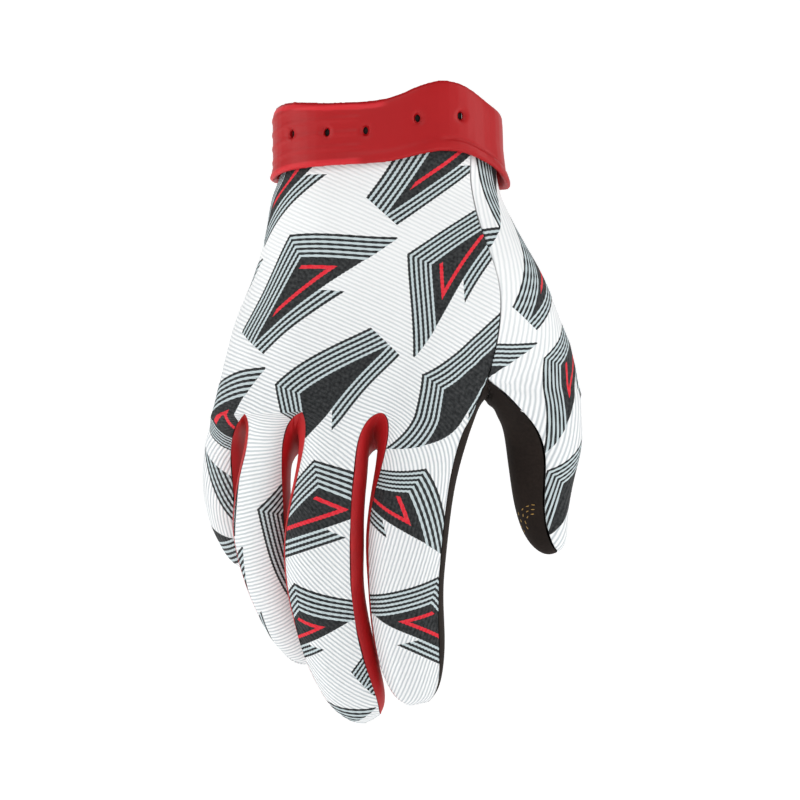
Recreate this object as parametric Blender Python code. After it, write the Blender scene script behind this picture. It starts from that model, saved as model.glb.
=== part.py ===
"""Right-hand off-road riding glove, shown worn: fingers down, back of the hand to -Y, thumb to +X.

Metres, +Z up. The origin is the centre of the wrist opening at the top of the cuff.
The whole skin is one set of section rows, cut along the sewing lines into cloth panels.
"""
import math
from collections import namedtuple

import bmesh
import bpy
from mathutils import Matrix, Vector

# Driving dimensions of the hand
PALM_LENGTH = 0.101        # wrist opening to the top of the finger forks, on the back
PALM_BREADTH = 0.094       # across the knuckles
PALM_DEPTH = 0.049         # back to palm at the wrist
WEB_SLOPE = 0.013          # how much lower the finger forks end on the palm side
LITTLE_WEB_SLOPE = 0.004   # the same beside the little finger

# Driving dimensions of each finger: free length from the fork, breadth and depth at the middle joint
INDEX_LENGTH = 0.0995
INDEX_BREADTH = 0.0268
MIDDLE_LENGTH = 0.1088
MIDDLE_BREADTH = 0.0267
RING_LENGTH = 0.0965
RING_BREADTH = 0.0198
LITTLE_LENGTH = 0.0705
LITTLE_BREADTH = 0.0182
FINGER_FLATNESS = 0.93     # a finger's depth over its breadth

# Driving dimensions of the thumb
THUMB_LENGTH = 0.0605
THUMB_BREADTH = 0.0262
THUMB_DEPTH = 0.0255

# Cloth and seams
WALL = 0.0013              # thickness of every cloth and suede panel
SEAM_GAP = 0.0004          # open line between two panels at a seam, on the outside
INNER_SEAM_GAP = 0.0013    # the same on the inside
MITRE_LIMIT = 1.05         # how much deeper than WALL the inner wall may lie at a sharp edge

# Cuff
CUFF_WALL = 0.0022
CUFF_CLEARANCE = 0.0005    # between the panels and the cuff that laps over them
CUFF_HEIGHT = 0.0205       # height of the band at the middle of the back
CUFF_LIP = 0.0014          # how far the lower thumb-side edge stands off
CUFF_LIP_SHARE = 0.35      # share of the band's height over which it does
CUFF_LIP_RUN = 25          # degrees over which the lip rises and fades
HOLE_WIDTH = 0.0017
HOLE_HEIGHT = 0.0029
HOLE_SIDES = 12
HOLE_LEVEL = 0.53          # share of the band's height at the holes' centres
HOLE_ANGLES = (-56, -30, -9, 13, 38)   # degrees round the cuff from the middle of the back

# How finely the rows are divided
DORSAL_STEPS = 4           # faces across the back of one finger
FORK_STEPS = 3             # faces across the side of a finger
INDEX_SIDE_STEPS = 6       # faces across the thumb side of the index finger
THUMB_STEPS = 8            # faces round the back of the thumb
CUFF_STEPS = 60            # faces round the cuff
ROUNDNESS = 2.3            # exponent of the rounded sections: 2 is an ellipse

# Sections of the hand from the wrist down. Columns are shares: drop of PALM_LENGTH, ulnar, radial, seam and
# thumb_out of PALM_BREADTH across, back, palm and thumb_deep of PALM_DEPTH front to back.
HandSection = namedtuple("HandSection", "drop ulnar radial back palm seam thumb_out thumb_deep")
HAND_SECTIONS = (
    HandSection(0.00, -0.378, 0.374, -0.480, 0.480, 0.290, 0.374, 0.00),
    HandSection(0.16, -0.378, 0.380, -0.480, 0.480, 0.290, 0.380, 0.00),
    HandSection(0.24, -0.382, 0.386, -0.482, 0.480, 0.288, 0.386, 0.01),
    HandSection(0.30, -0.412, 0.404, -0.496, 0.492, 0.296, 0.400, 0.02),
    HandSection(0.37, -0.422, 0.445, -0.505, 0.505, 0.312, 0.440, 0.04),
    HandSection(0.50, -0.458, 0.525, -0.502, 0.515, 0.364, 0.526, 0.09),
    HandSection(0.60, -0.497, 0.560, -0.498, 0.495, 0.396, 0.580, 0.12),
    HandSection(0.70, -0.543, 0.540, -0.490, 0.450, 0.393, 0.625, 0.16),
    HandSection(0.79, -0.572, 0.465, -0.480, 0.385, 0.374, 0.658, 0.19),
    HandSection(0.87, -0.590, 0.392, -0.468, 0.310, 0.348, 0.672, 0.21),
    HandSection(0.93, -0.606, 0.350, -0.460, 0.255, 0.318, 0.675, 0.22),
    HandSection(1.00, -0.625, 0.322, -0.450, 0.205, 0.284, 0.675, 0.22),
)
ROW_DROPS = (0.155, 0.20, 0.24, 0.28, 0.33, 0.405, 0.49, 0.575, 0.66, 0.745, 0.81, 0.87, 0.93, 1.0)
THUMB_ROW = 11             # the row of ROW_DROPS where the thumb leaves the hand
EDGE_SHARE = 0.93          # where the back and the palm turn into the little side
PALM_SEAM_ANGLE = 126      # degrees from the back to the palm seam below the thumb
LITTLE_SIDE_FROM = 0.25    # share of the half breadth where the arch towards the little side begins
CURVE_FULLNESS = 1.15      # how far the skin round the thumb's root swells
# Where the forks divide the row from the little side to the thumb side, at the wrist and at the forks
WRIST_FORKS = (0.21, 0.45, 0.71)
BACK_FORKS = (0.105, 0.335, 0.650)
PALM_FORKS = (0.142, 0.360, 0.660)
FORK_DIP = 0.0016          # how deep the back dips between two knuckles
KNUCKLE_ARCH = 0.0095      # how far the little side falls back towards the palm at the knuckles

# Fingers. start_x and start_y: centre at the fork, shares of PALM_BREADTH and PALM_DEPTH. base: breadth at the
# fork over the breadth. curl and lean: degrees at the start, a third, two thirds and the tip. roll turns the
# back of the finger to the little side. ulnar and radial: degrees from the middle of the back to the seam, at
# the fork and down the finger. front: degrees from the middle of the front to its two seams at the fork.
Finger = namedtuple("Finger", "name length breadth start_x start_y base roll curl lean ulnar radial front")
FINGERS = (
    Finger("little", LITTLE_LENGTH, LITTLE_BREADTH, -0.552, 0.275, 1.00, 36, (20, 36, 46, 52), (-3, -1, 12, 20),
           (62, 62), (30, 44), (52, 52)),
    Finger("ring", RING_LENGTH, RING_BREADTH, -0.414, -0.036, 0.97, 14, (13, 21, 29, 36), (-10, 0, 17, 28),
           (32, 56), (36, 62), (26, 48)),
    Finger("middle", MIDDLE_LENGTH, MIDDLE_BREADTH, -0.164, -0.165, 0.97, 6, (5, 10, 16, 22), (-14, -3, 12, 33),
           (38, 64), (36, 43), (48, 48)),
    Finger("index", INDEX_LENGTH, INDEX_BREADTH, 0.136, -0.155, 1.10, -4, (3, 7, 12, 17), (-14, -6, 3, 12),
           (40, 72), (50, 52), (48, 52)),
)
FRONT_SEAM = 52            # degrees from the middle of a finger's front to its seams, past the fork
# Sections along a finger: share of its length, breadth and depth
FingerSection = namedtuple("FingerSection", "along breadth depth")
FINGER_SECTIONS = (
    FingerSection(0.00, 0.97, 1.05), FingerSection(0.015, 0.97, 1.05), FingerSection(0.05, 0.97, 1.04),
    FingerSection(0.105, 0.97, 1.02), FingerSection(0.175, 0.98, 1.00), FingerSection(0.25, 0.99, 0.98),
    FingerSection(0.34, 1.01, 1.00),
    FingerSection(0.42, 1.02, 1.02), FingerSection(0.50, 0.99, 0.97), FingerSection(0.58, 0.96, 0.92),
    FingerSection(0.66, 0.93, 0.89), FingerSection(0.74, 0.90, 0.86), FingerSection(0.82, 0.85, 0.80),
    FingerSection(0.89, 0.76, 0.71), FingerSection(0.945, 0.62, 0.57), FingerSection(0.98, 0.43, 0.36),
)
FINGER_END = FingerSection(1.0, 0.27, 0.0)
# How far the first rings have left the hand's last row: in outline, in height, and in outline on the little finger
OUTLINE_BLEND = (0.0, 0.36, 0.66, 0.88, 0.97)
HEIGHT_BLEND = (0.0, 0.05, 0.18, 0.43, 0.74, 0.94)
LITTLE_BLEND = (0.0, 0.09, 0.32, 0.64, 0.90)
FORK_BOW = ((-0.0015, 0.0022), (-0.0025, 0.0), (-0.0020, 0.0))   # how far each fork bows across and to the palm
# How far a finger's side must stand off the fork line at the first rings, and how strictly
FORK_OPENING = (0.0, 0.0003, 0.0010, 0.0013, 0.0013, 0.0013, 0.0013)
FORK_HOLD = (1.0, 0.90, 0.80, 0.62, 0.42, 0.22, 0.08)
SEAM_SPREAD = 0.36         # share of a finger's length over which its seams spread from the fork

# Thumb. Its centre starts at these shares of PALM_BREADTH and PALM_DEPTH, just below the crotch.
THUMB_START_X = 0.534
THUMB_START_Y = 0.175
THUMB_CURL = (6, 12, 14, 16)
THUMB_LEAN = (9, -1, 2, 36)
THUMB_SEAM = 2             # degrees from the front of the view to the seam of the inner face
THUMB_PALM_SEAM = 172
THUMB_SECTIONS = (
    FingerSection(0.06, 1.06, 1.03), FingerSection(0.14, 1.04, 1.02), FingerSection(0.23, 1.01, 1.00),
    FingerSection(0.33, 1.00, 0.98), FingerSection(0.43, 0.95, 0.93), FingerSection(0.53, 0.86, 0.87),
    FingerSection(0.63, 0.78, 0.82), FingerSection(0.73, 0.70, 0.76), FingerSection(0.82, 0.62, 0.68),
    FingerSection(0.90, 0.51, 0.57), FingerSection(0.96, 0.35, 0.40),
)
THUMB_BLEND = (0.24, 0.54, 0.82, 0.96)
CROTCH_SAG = 0.0035        # how far the crotch between thumb and index finger hangs below its two ends
INDEX_SIDE_SWELL = 0.0022  # how far the index side bulges towards the thumb

# Rims of the cuff round the wrist: degrees from the middle of the back towards the thumb, and the heights of
# the two rims over their lines at the middle of the back, as shares of CUFF_HEIGHT
CuffRim = namedtuple("CuffRim", "angle top bottom")
CUFF_RIMS = (
    CuffRim(-90, -0.08, -0.24), CuffRim(-58, 0.02, -0.09), CuffRim(-28, 0.00, -0.02), CuffRim(-2, 0.05, 0.03),
    CuffRim(14, 0.27, 0.16), CuffRim(27, 0.36, 0.22), CuffRim(42, 0.27, 0.17), CuffRim(60, 0.02, -0.03),
    CuffRim(78, -0.12, -0.25), CuffRim(95, -0.20, -0.36), CuffRim(135, -0.25, -0.36), CuffRim(180, -0.18, -0.32),
    CuffRim(225, -0.14, -0.30), CuffRim(270, -0.08, -0.24),
)
CUFF_LIP_FROM = 38         # degrees: the lower edge stands off from here round to the palm side
CUFF_LIP_TO = 120
# Outline of the cuff's wall: share of its height from the lower rim, and of its thickness outwards
CUFF_OUTSIDE = ((0.0, 0.55), (0.035, 1.0), (0.15, 1.0), (0.20, 0.86), (0.5, 0.90), (0.82, 0.92), (0.95, 0.85), (1.0, 0.5))
CUFF_INSIDE = ((0.985, 0.08), (0.75, 0.0), (0.4, 0.0), (0.04, 0.0))

WHITE_KNIT = (0.80, 0.81, 0.81, 1.0)
BLACK_SUEDE = (0.012, 0.009, 0.008, 1.0)
RED_KNIT = (0.55, 0.004, 0.008, 1.0)
RED_RUBBER = (0.62, 0.003, 0.010, 1.0)


def rounded(value):
    """Sine or cosine pushed outwards, which squares the shoulders of a round section."""
    return math.copysign(abs(value) ** (2 / ROUNDNESS), value)


def smooth_step(share):
    share = min(max(share, 0.0), 1.0)
    return share * share * (3 - 2 * share)


def read_table(rows, place):
    """One row of a table at any place along its first column, on a smooth curve through the rows."""
    keys = [row[0] for row in rows]
    place = min(max(place, keys[0]), keys[-1])
    upper = next(i for i in range(1, len(keys)) if place <= keys[i])
    lower = upper - 1
    span = keys[upper] - keys[lower]
    share = (place - keys[lower]) / span

    def slope(column, i):
        before, after = max(i - 1, 0), min(i + 1, len(rows) - 1)
        return (rows[after][column] - rows[before][column]) / (keys[after] - keys[before])

    found = []
    for column in range(len(rows[0])):
        start, end = rows[lower][column], rows[upper][column]
        start_run, end_run = slope(column, lower) * span, slope(column, upper) * span
        found.append(start * (1 + 2 * share) * (1 - share) ** 2 + start_run * share * (1 - share) ** 2
                     + end * share * share * (3 - 2 * share) - end_run * share * share * (1 - share))
    return type(rows[0])(*found) if hasattr(rows[0], "_fields") else found


class HandRow:
    """One section of the hand, without the thumb, at a drop below the wrist opening."""

    def __init__(self, share):
        section = read_table(HAND_SECTIONS, share)
        self.drop = share * PALM_LENGTH
        self.tilt = WEB_SLOPE * share * share
        self.little_tilt = LITTLE_WEB_SLOPE * share * share
        self.arch = KNUCKLE_ARCH * smooth_step((share - 0.3) / 0.7)
        self.middle = (section.ulnar + section.radial) / 2 * PALM_BREADTH
        self.reach = (section.radial - section.ulnar) / 2 * PALM_BREADTH
        self.centre = (section.back + section.palm) / 2 * PALM_DEPTH
        self.depth = (section.palm - section.back) / 2 * PALM_DEPTH
        self.seam = section.seam * PALM_BREADTH
        self.thumb_x = section.thumb_out * PALM_BREADTH
        self.thumb_y = section.thumb_deep * PALM_DEPTH

    def at_angle(self, degrees):
        """A point of the section, with 0 at the middle of the back and 90 at the thumb side."""
        turn = math.radians(degrees)
        across = rounded(math.sin(turn))
        towards_palm = (1 - math.cos(turn)) / 2
        little_side = max(-across - LITTLE_SIDE_FROM, 0.0) / (1 - LITTLE_SIDE_FROM)
        tilt = self.tilt + (self.little_tilt - self.tilt) * smooth_step(little_side)
        return Vector((self.middle + self.reach * across,
                       self.centre - self.depth * rounded(math.cos(turn)) + self.arch * little_side ** 2,
                       -self.drop - tilt * towards_palm))

    def angle_of(self, x):
        across = min(max((x - self.middle) / self.reach, -1.0), 1.0)
        return math.degrees(math.asin(math.copysign(abs(across) ** (ROUNDNESS / 2), across)))

    def curve(self, start, start_way, end, end_way, t):
        """A place on a curve that leaves one point and arrives at another in the given directions."""
        length = (end - start).length * CURVE_FULLNESS
        return (start * (1 + 2 * t) * (1 - t) ** 2 + start_way * length * t * (1 - t) ** 2
                + end * t * t * (3 - 2 * t) - end_way * length * t * t * (1 - t))

    def thumb_side(self, share):
        """A place between the back seam and the palm seam, round the root of the thumb."""
        seam_angle = self.angle_of(self.seam)
        outwards = Vector((0, 1, 0))
        side = Vector((self.thumb_x, self.thumb_y, -self.drop - self.tilt / 2))
        if share < 0.5:
            start = self.at_angle(seam_angle)
            way = (self.at_angle(seam_angle + 2) - start).normalized()
            return self.curve(start, way, side, outwards, share * 2)
        end = self.at_angle(PALM_SEAM_ANGLE)
        way = (end - self.at_angle(PALM_SEAM_ANGLE - 2)).normalized()
        return self.curve(side, outwards, end, way, share * 2 - 1)

    def outline(self, degrees):
        """The whole outline with the root of the thumb."""
        seam_angle = self.angle_of(self.seam)
        if seam_angle < degrees < PALM_SEAM_ANGLE:
            return self.thumb_side((degrees - seam_angle) / (PALM_SEAM_ANGLE - seam_angle))
        return self.at_angle(degrees)


def fork_shares(forks, progress):
    """Shares of a row where its points lie, with the fork lines moving from the wrist's to the forks' own."""
    edges = [0.0] + [w + (f - w) * progress for w, f in zip(WRIST_FORKS, forks)] + [1.0]
    shares = []
    for low, high in zip(edges, edges[1:]):
        shares += [low + (high - low) * i / DORSAL_STEPS for i in range(DORSAL_STEPS)]
    return shares + [1.0]


class Skin:
    """The outer skin of the glove as one open mesh, with the panel that each face belongs to."""

    def __init__(self):
        self.mesh = bmesh.new()
        self.panel = self.mesh.faces.layers.int.new("panel")
        self.names = []

    def point(self, place):
        return self.mesh.verts.new(place)

    def strip(self, name, upper, lower):
        """Faces between two runs of points, the upper one nearer the wrist."""
        if name not in self.names:
            self.names.append(name)
        for i in range(len(upper) - 1):
            corners = []
            for corner in (upper[i], lower[i], lower[i + 1], upper[i + 1]):
                if corner not in corners:
                    corners.append(corner)
            if len(corners) > 2:
                self.mesh.faces.new(corners)[self.panel] = self.names.index(name)


def hand_rows(skin):
    """The rows of the hand; each is a dict of its runs of points, in order round the hand."""
    rows = []
    for number, share in enumerate(ROW_DROPS):
        section = HandRow(share)
        progress = smooth_step((share - ROW_DROPS[0]) / (1 - ROW_DROPS[0]))
        edge = math.degrees(math.asin(EDGE_SHARE ** (ROUNDNESS / 2)))
        left = section.at_angle(-edge)
        seam = section.at_angle(section.angle_of(section.seam))
        right = section.at_angle(PALM_SEAM_ANGLE)

        back = []
        for i, part in enumerate(fork_shares(BACK_FORKS, progress)):
            place = section.at_angle(section.angle_of(left.x + (seam.x - left.x) * part))
            if i % DORSAL_STEPS == 0 and 0 < part < 1:
                place.y += FORK_DIP * progress ** 3
            back.append(skin.point(place))
        palm = []
        for part in reversed(fork_shares(PALM_FORKS, progress)):
            x = left.x + (right.x - left.x) * part
            palm.append(skin.point(section.at_angle(180 - section.angle_of(x))))

        row = {"back": back, "palm": palm}
        turns = [180 + edge + (180 - 2 * edge) * i / FORK_STEPS for i in range(1, FORK_STEPS)]
        row["little_side"] = [palm[-1]] + [skin.point(section.at_angle(turn)) for turn in turns] + [back[0]]
        if number <= THUMB_ROW:
            arc = [skin.point(section.thumb_side(i / THUMB_STEPS)) for i in range(1, THUMB_STEPS)]
            row["thumb_side"] = [back[-1]] + arc + [palm[0]]
        if number >= THUMB_ROW:
            start, end = back[-1].co, palm[0].co
            inner = []
            for i in range(1, INDEX_SIDE_STEPS):
                t = i / INDEX_SIDE_STEPS
                place = start.lerp(end, t)
                hump = 4 * t * (1 - t)
                place.x += INDEX_SIDE_SWELL * hump
                place.z -= CROTCH_SAG * hump if number == THUMB_ROW else 0.0
                inner.append(skin.point(place))
            row["index_side"] = [back[-1]] + inner + [palm[0]]
        rows.append(row)
    return rows


def cover_hand(skin, rows):
    for number, (upper, lower) in enumerate(zip(rows, rows[1:])):
        skin.strip("back_panel", upper["little_side"], lower["little_side"])
        skin.strip("back_panel", upper["back"], lower["back"])
        skin.strip("palm_panel", upper["palm"], lower["palm"])
        if number < THUMB_ROW:
            skin.strip("thumb_back", upper["thumb_side"], lower["thumb_side"])
        else:
            skin.strip("palm_panel", upper["index_side"], lower["index_side"])


def centre_line(start, length, curl, lean, stops):
    """Places and directions along a finger that curls forwards and leans sideways."""
    def bend(table, share):
        return math.radians(read_table([(i / 3, angle) for i, angle in enumerate(table)], share)[1])

    steps = 60
    line = [(0.0, start.copy())]
    for i in range(steps):
        share = (i + 0.5) / steps
        way = heading(bend(curl, share), bend(lean, share))
        line.append(((i + 1) / steps, line[-1][1] + way * length / steps))
    found = []
    for stop in stops:
        i = min(int(stop * steps), steps - 1)
        place = line[i][1].lerp(line[i + 1][1], stop * steps - i)
        found.append((place, heading(bend(curl, stop), bend(lean, stop))))
    return found


def heading(curl, lean):
    """The direction of a finger from its curl towards the palm and its lean towards the thumb."""
    return Vector((math.sin(lean), math.sin(curl) * math.cos(lean), -math.cos(curl) * math.cos(lean)))


def ring_points(place, way, roll, half_breadth, half_depth, angles):
    """A rounded section across a finger, by angles from the middle of its back towards the thumb side."""
    side = (Vector((1, 0, 0)) - way * way.x).normalized()
    back = way.cross(side)
    turn = math.radians(roll)
    back, side = back * math.cos(turn) - side * math.sin(turn), side * math.cos(turn) + back * math.sin(turn)
    return [place + side * half_breadth * rounded(math.sin(math.radians(a)))
            + back * half_depth * rounded(math.cos(math.radians(a))) for a in angles]


def step_of(blend, i):
    return blend[i] if i < len(blend) else 1.0


def spread(start, end, steps):
    return [start + (end - start) * i / steps for i in range(steps)]


def finger_runs(row, fork_line, number):
    """The first ring of a finger, where it leaves the hand, as its four runs of points."""
    first = number * DORSAL_STEPS
    back = row["back"][first:first + DORSAL_STEPS + 1]
    last = len(row["palm"]) - 1 - first
    front = row["palm"][last - DORSAL_STEPS:last + 1]
    radial = row["index_side"] if number == len(FINGERS) - 1 else fork_line[number]
    ulnar = row["little_side"] if number == 0 else list(reversed(fork_line[number - 1]))
    return back, radial, front, ulnar


def cover_finger(skin, finger, first_runs, panels):
    """Rings down one finger, closed by a seam across the tip. panels: the pieces on back, radial, front, ulnar."""
    radial_steps, ulnar_steps = len(first_runs[1]) - 1, len(first_runs[3]) - 1
    start = Vector((finger.start_x * PALM_BREADTH, finger.start_y * PALM_DEPTH, -PALM_LENGTH))
    sections = FINGER_SECTIONS + (FINGER_END,)
    line = centre_line(start, finger.length, finger.curl, finger.lean, [s.along for s in sections])

    def ideal(i):
        spread_out = smooth_step(sections[i].along / SEAM_SPREAD)
        ulnar, radial = (near + (far - near) * spread_out for near, far in (finger.ulnar, finger.radial))
        front_ulnar, front_radial = (near + (FRONT_SEAM - near) * spread_out for near in finger.front)
        angles = (spread(-ulnar, radial, DORSAL_STEPS)
                  + spread(radial, 180 - front_radial, radial_steps)
                  + spread(180 - front_radial, 180 + front_ulnar, DORSAL_STEPS)
                  + spread(180 + front_ulnar, 360 - ulnar, ulnar_steps))
        base = 1 + (finger.base - 1) * (1 - smooth_step(sections[i].along / 0.5))
        breadth = sections[i].breadth * base * finger.breadth / 2
        depth = sections[i].depth * finger.breadth * FINGER_FLATNESS / 2
        place, way = line[i]
        level = Vector((0, 0, -1)).lerp(way, spread_out).normalized()
        return ring_points(place, level, finger.roll, breadth, depth, angles)

    cuts = [0, DORSAL_STEPS, DORSAL_STEPS + radial_steps, 2 * DORSAL_STEPS + radial_steps]
    cuts.append(cuts[-1] + ulnar_steps)
    first_ring = first_runs[0][:-1] + first_runs[1][:-1] + first_runs[2][:-1] + first_runs[3][:-1]
    offsets = [vert.co - place for vert, place in zip(first_ring, ideal(0))]
    upper = first_ring
    for i in range(1, len(sections)):
        outline = 1 - step_of(LITTLE_BLEND if finger.name == "little" else OUTLINE_BLEND, i)
        height = 1 - step_of(HEIGHT_BLEND, i)
        places = [place + offset * Vector((outline, outline, height))
                  for place, offset in zip(ideal(i), offsets)]
        if i < len(FORK_OPENING):
            radial_side = range(cuts[1], cuts[2] + 1) if finger.name != "index" else ()
            ulnar_side = [*range(cuts[3], cuts[4]), 0] if finger.name != "little" else ()
            low, high = min(p.x for p in places), max(p.x for p in places)
            from_right = max([places[j].x - first_ring[j].co.x + FORK_OPENING[i] for j in radial_side] + [0.0])
            from_left = max([first_ring[j].co.x - places[j].x + FORK_OPENING[i] for j in ulnar_side] + [0.0])
            for place in places:
                across = (place.x - low) / (high - low)
                place.x += (from_left * (1 - across) - from_right * across) * FORK_HOLD[i]
        if sections[i].depth:
            lower = [skin.point(place) for place in places]
        else:
            seam = [skin.point(place) for place in places[:DORSAL_STEPS + 1]]
            lower = (seam + [seam[-1]] * (radial_steps - 1) + list(reversed(seam))
                     + [seam[0]] * (ulnar_steps - 1))
        for panel, begin, end in zip(panels, cuts, cuts[1:]):
            skin.strip(panel, (upper + upper[:1])[begin:end + 1], (lower + lower[:1])[begin:end + 1])
        upper = lower


def cover_fingers(skin, last_row):
    fork_names = ["fourchette_little_ring", "fourchette_ring_middle", "fourchette_middle_index"]
    fork_lines = []
    for number in range(1, len(FINGERS)):
        top = last_row["back"][number * DORSAL_STEPS]
        bottom = last_row["palm"][len(last_row["palm"]) - 1 - number * DORSAL_STEPS]
        between = []
        for i in range(1, FORK_STEPS):
            t = i / FORK_STEPS
            bow = Vector((*FORK_BOW[number - 1], 0)) * 4 * t * (1 - t)
            between.append(skin.point(top.co.lerp(bottom.co, t) + bow))
        fork_lines.append([top] + between + [bottom])
    for number, finger in enumerate(FINGERS):
        radial = "palm_panel" if finger.name == "index" else fork_names[number]
        ulnar = "back_panel" if finger.name == "little" else fork_names[number - 1]
        runs = finger_runs(last_row, fork_lines, number)
        cover_finger(skin, finger, runs, ("back_panel", radial, "palm_panel", ulnar))


def cover_thumb(skin, row):
    """Rings down the thumb, its back in the printed panel and its inner face in suede, closed at the tip."""
    outer, inner = row["thumb_side"], list(reversed(row["index_side"]))
    start = Vector((THUMB_START_X * PALM_BREADTH, THUMB_START_Y * PALM_DEPTH, outer[0].co.z))
    angles = (spread(THUMB_SEAM, THUMB_PALM_SEAM, THUMB_STEPS)
              + spread(THUMB_PALM_SEAM, 360 + THUMB_SEAM, INDEX_SIDE_STEPS))
    stops = [section.along for section in THUMB_SECTIONS]
    line = centre_line(start, THUMB_LENGTH, THUMB_CURL, THUMB_LEAN, stops + [1.0])
    upper = outer[:-1] + inner[:-1]
    first = [vert.co.copy() for vert in upper]
    origin = ring_points(start, line[0][1], 0, THUMB_BREADTH / 2, THUMB_DEPTH / 2, angles)
    for i, section in enumerate(THUMB_SECTIONS):
        left_hand = step_of(THUMB_BLEND, i)
        ideal = ring_points(*line[i], 0, section.breadth * THUMB_BREADTH / 2, section.depth * THUMB_DEPTH / 2, angles)
        lower = [skin.point(place + (begin - round_place) * (1 - left_hand))
                 for place, begin, round_place in zip(ideal, first, origin)]
        skin.strip("thumb_back", upper[:THUMB_STEPS + 1], lower[:THUMB_STEPS + 1])
        skin.strip("thumb_palm", upper[THUMB_STEPS:] + upper[:1], lower[THUMB_STEPS:] + lower[:1])
        upper = lower
    tip = skin.point(line[-1][0])
    skin.strip("thumb_back", upper[:THUMB_STEPS + 1], [tip] * (THUMB_STEPS + 1))
    skin.strip("thumb_palm", upper[THUMB_STEPS:] + upper[:1], [tip] * (INDEX_SIDE_STEPS + 1))


def pull_in(vert, faces, borders):
    """How far a point on a panel's border moves into the panel to open the seam by one unit."""
    inwards = Vector()
    for edge in borders:
        if vert in edge.verts:
            face = next(f for f in edge.link_faces if f in faces)
            along = (edge.verts[1].co - edge.verts[0].co).normalized()
            across = face.normal.cross(along)
            if across.dot(face.calc_center_median() - edge.verts[0].co) < 0:
                across.negate()
            inwards += across
    if inwards.length < 0.2:
        return Vector()
    direction = inwards.normalized()
    corner = max(inwards.length / 2, 0.5)
    return direction / 2 / corner


def even_normal(vert):
    """A point's normal, evened with its neighbours' so that the inner wall doesn't fold at the forks."""
    around = sum((edge.other_vert(vert).normal for edge in vert.link_edges), Vector())
    return (vert.normal + around / len(vert.link_edges)).normalized()


def cut_panel(skin, name):
    """One panel as a closed wall: its outer faces, the same faces set in by WALL, and the rim between."""
    number = skin.names.index(name)
    faces = {f for f in skin.mesh.faces if f[skin.panel] == number}
    borders = [e for e in skin.mesh.edges if sum(f in faces for f in e.link_faces) == 1]
    verts = {v for f in faces for v in f.verts}
    solid = bmesh.new()
    outside, inside = {}, {}
    for vert in sorted(verts, key=lambda v: v.index):
        shift = pull_in(vert, faces, borders)
        set_in = even_normal(vert) * WALL * min(vert.calc_shell_factor(), MITRE_LIMIT)
        outside[vert] = solid.verts.new(vert.co + shift * SEAM_GAP)
        inside[vert] = solid.verts.new(vert.co + shift * INNER_SEAM_GAP - set_in)
    for face in sorted(faces, key=lambda f: f.index):
        solid.faces.new([outside[v] for v in face.verts])
        solid.faces.new([inside[v] for v in reversed(face.verts)])
    for edge in borders:
        one, two = edge.verts
        solid.faces.new([outside[one], outside[two], inside[two], inside[one]])
    bmesh.ops.recalc_face_normals(solid, faces=solid.faces)
    return solid


def make_material(name, colour, roughness):
    material = bpy.data.materials.new(name)
    material.use_nodes = True
    shader = material.node_tree.nodes["Principled BSDF"]
    shader.inputs["Base Color"].default_value = colour
    shader.inputs["Roughness"].default_value = roughness
    return material


def add_object(name, mesh, material, collection):
    data = bpy.data.meshes.new(name)
    mesh.to_mesh(data)
    mesh.free()
    data.shade_smooth()
    data.materials.append(material)
    made = bpy.data.objects.new(name, data)
    collection.objects.link(made)
    return made


def cuff_rims(angle):
    """Heights of the cuff's top and bottom rim at an angle round the wrist."""
    rims = read_table(CUFF_RIMS, (angle + 90) % 360 - 90)
    return rims.top * CUFF_HEIGHT, (rims.bottom - 1) * CUFF_HEIGHT


def cuff_point(angle, height, outwards):
    """A place on the cuff, a distance outside the skin of the hand below it."""
    section = HandRow(max(-height, 0.0) / PALM_LENGTH)
    place = section.outline(angle)
    beside = section.outline(angle + 1) - section.outline(angle - 1)
    normal = Vector((beside.y, -beside.x, 0)).normalized()
    place += normal * outwards
    place.z = height
    return place


def make_cuff(collection, cutters, material):
    mesh = bmesh.new()
    rings = []
    for step in range(CUFF_STEPS):
        angle = -90 + 360 * step / CUFF_STEPS
        top, bottom = cuff_rims(angle)
        lip = (smooth_step((angle - CUFF_LIP_FROM) / CUFF_LIP_RUN)
               * smooth_step((CUFF_LIP_TO - angle) / CUFF_LIP_RUN))
        ring = []
        for share, thickness in CUFF_OUTSIDE + CUFF_INSIDE:
            stand_off = CUFF_LIP * lip * smooth_step(1 - share / CUFF_LIP_SHARE)
            outwards = CUFF_CLEARANCE + thickness * CUFF_WALL + stand_off
            ring.append(mesh.verts.new(cuff_point(angle, bottom + (top - bottom) * share, outwards)))
        rings.append(ring)
    for i, ring in enumerate(rings):
        after = rings[(i + 1) % CUFF_STEPS]
        for j in range(len(ring)):
            k = (j + 1) % len(ring)
            mesh.faces.new((ring[j], after[j], after[k], ring[k]))
    bmesh.ops.recalc_face_normals(mesh, faces=mesh.faces)
    cuff = add_object("cuff", mesh, material, collection)
    for number, angle in enumerate(HOLE_ANGLES):
        cutter = hole_cutter(number, angle, cutters)
        cut = cuff.modifiers.new("hole", "BOOLEAN")
        cut.object = cutter
        cut.solver = "EXACT"
    return cuff


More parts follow.
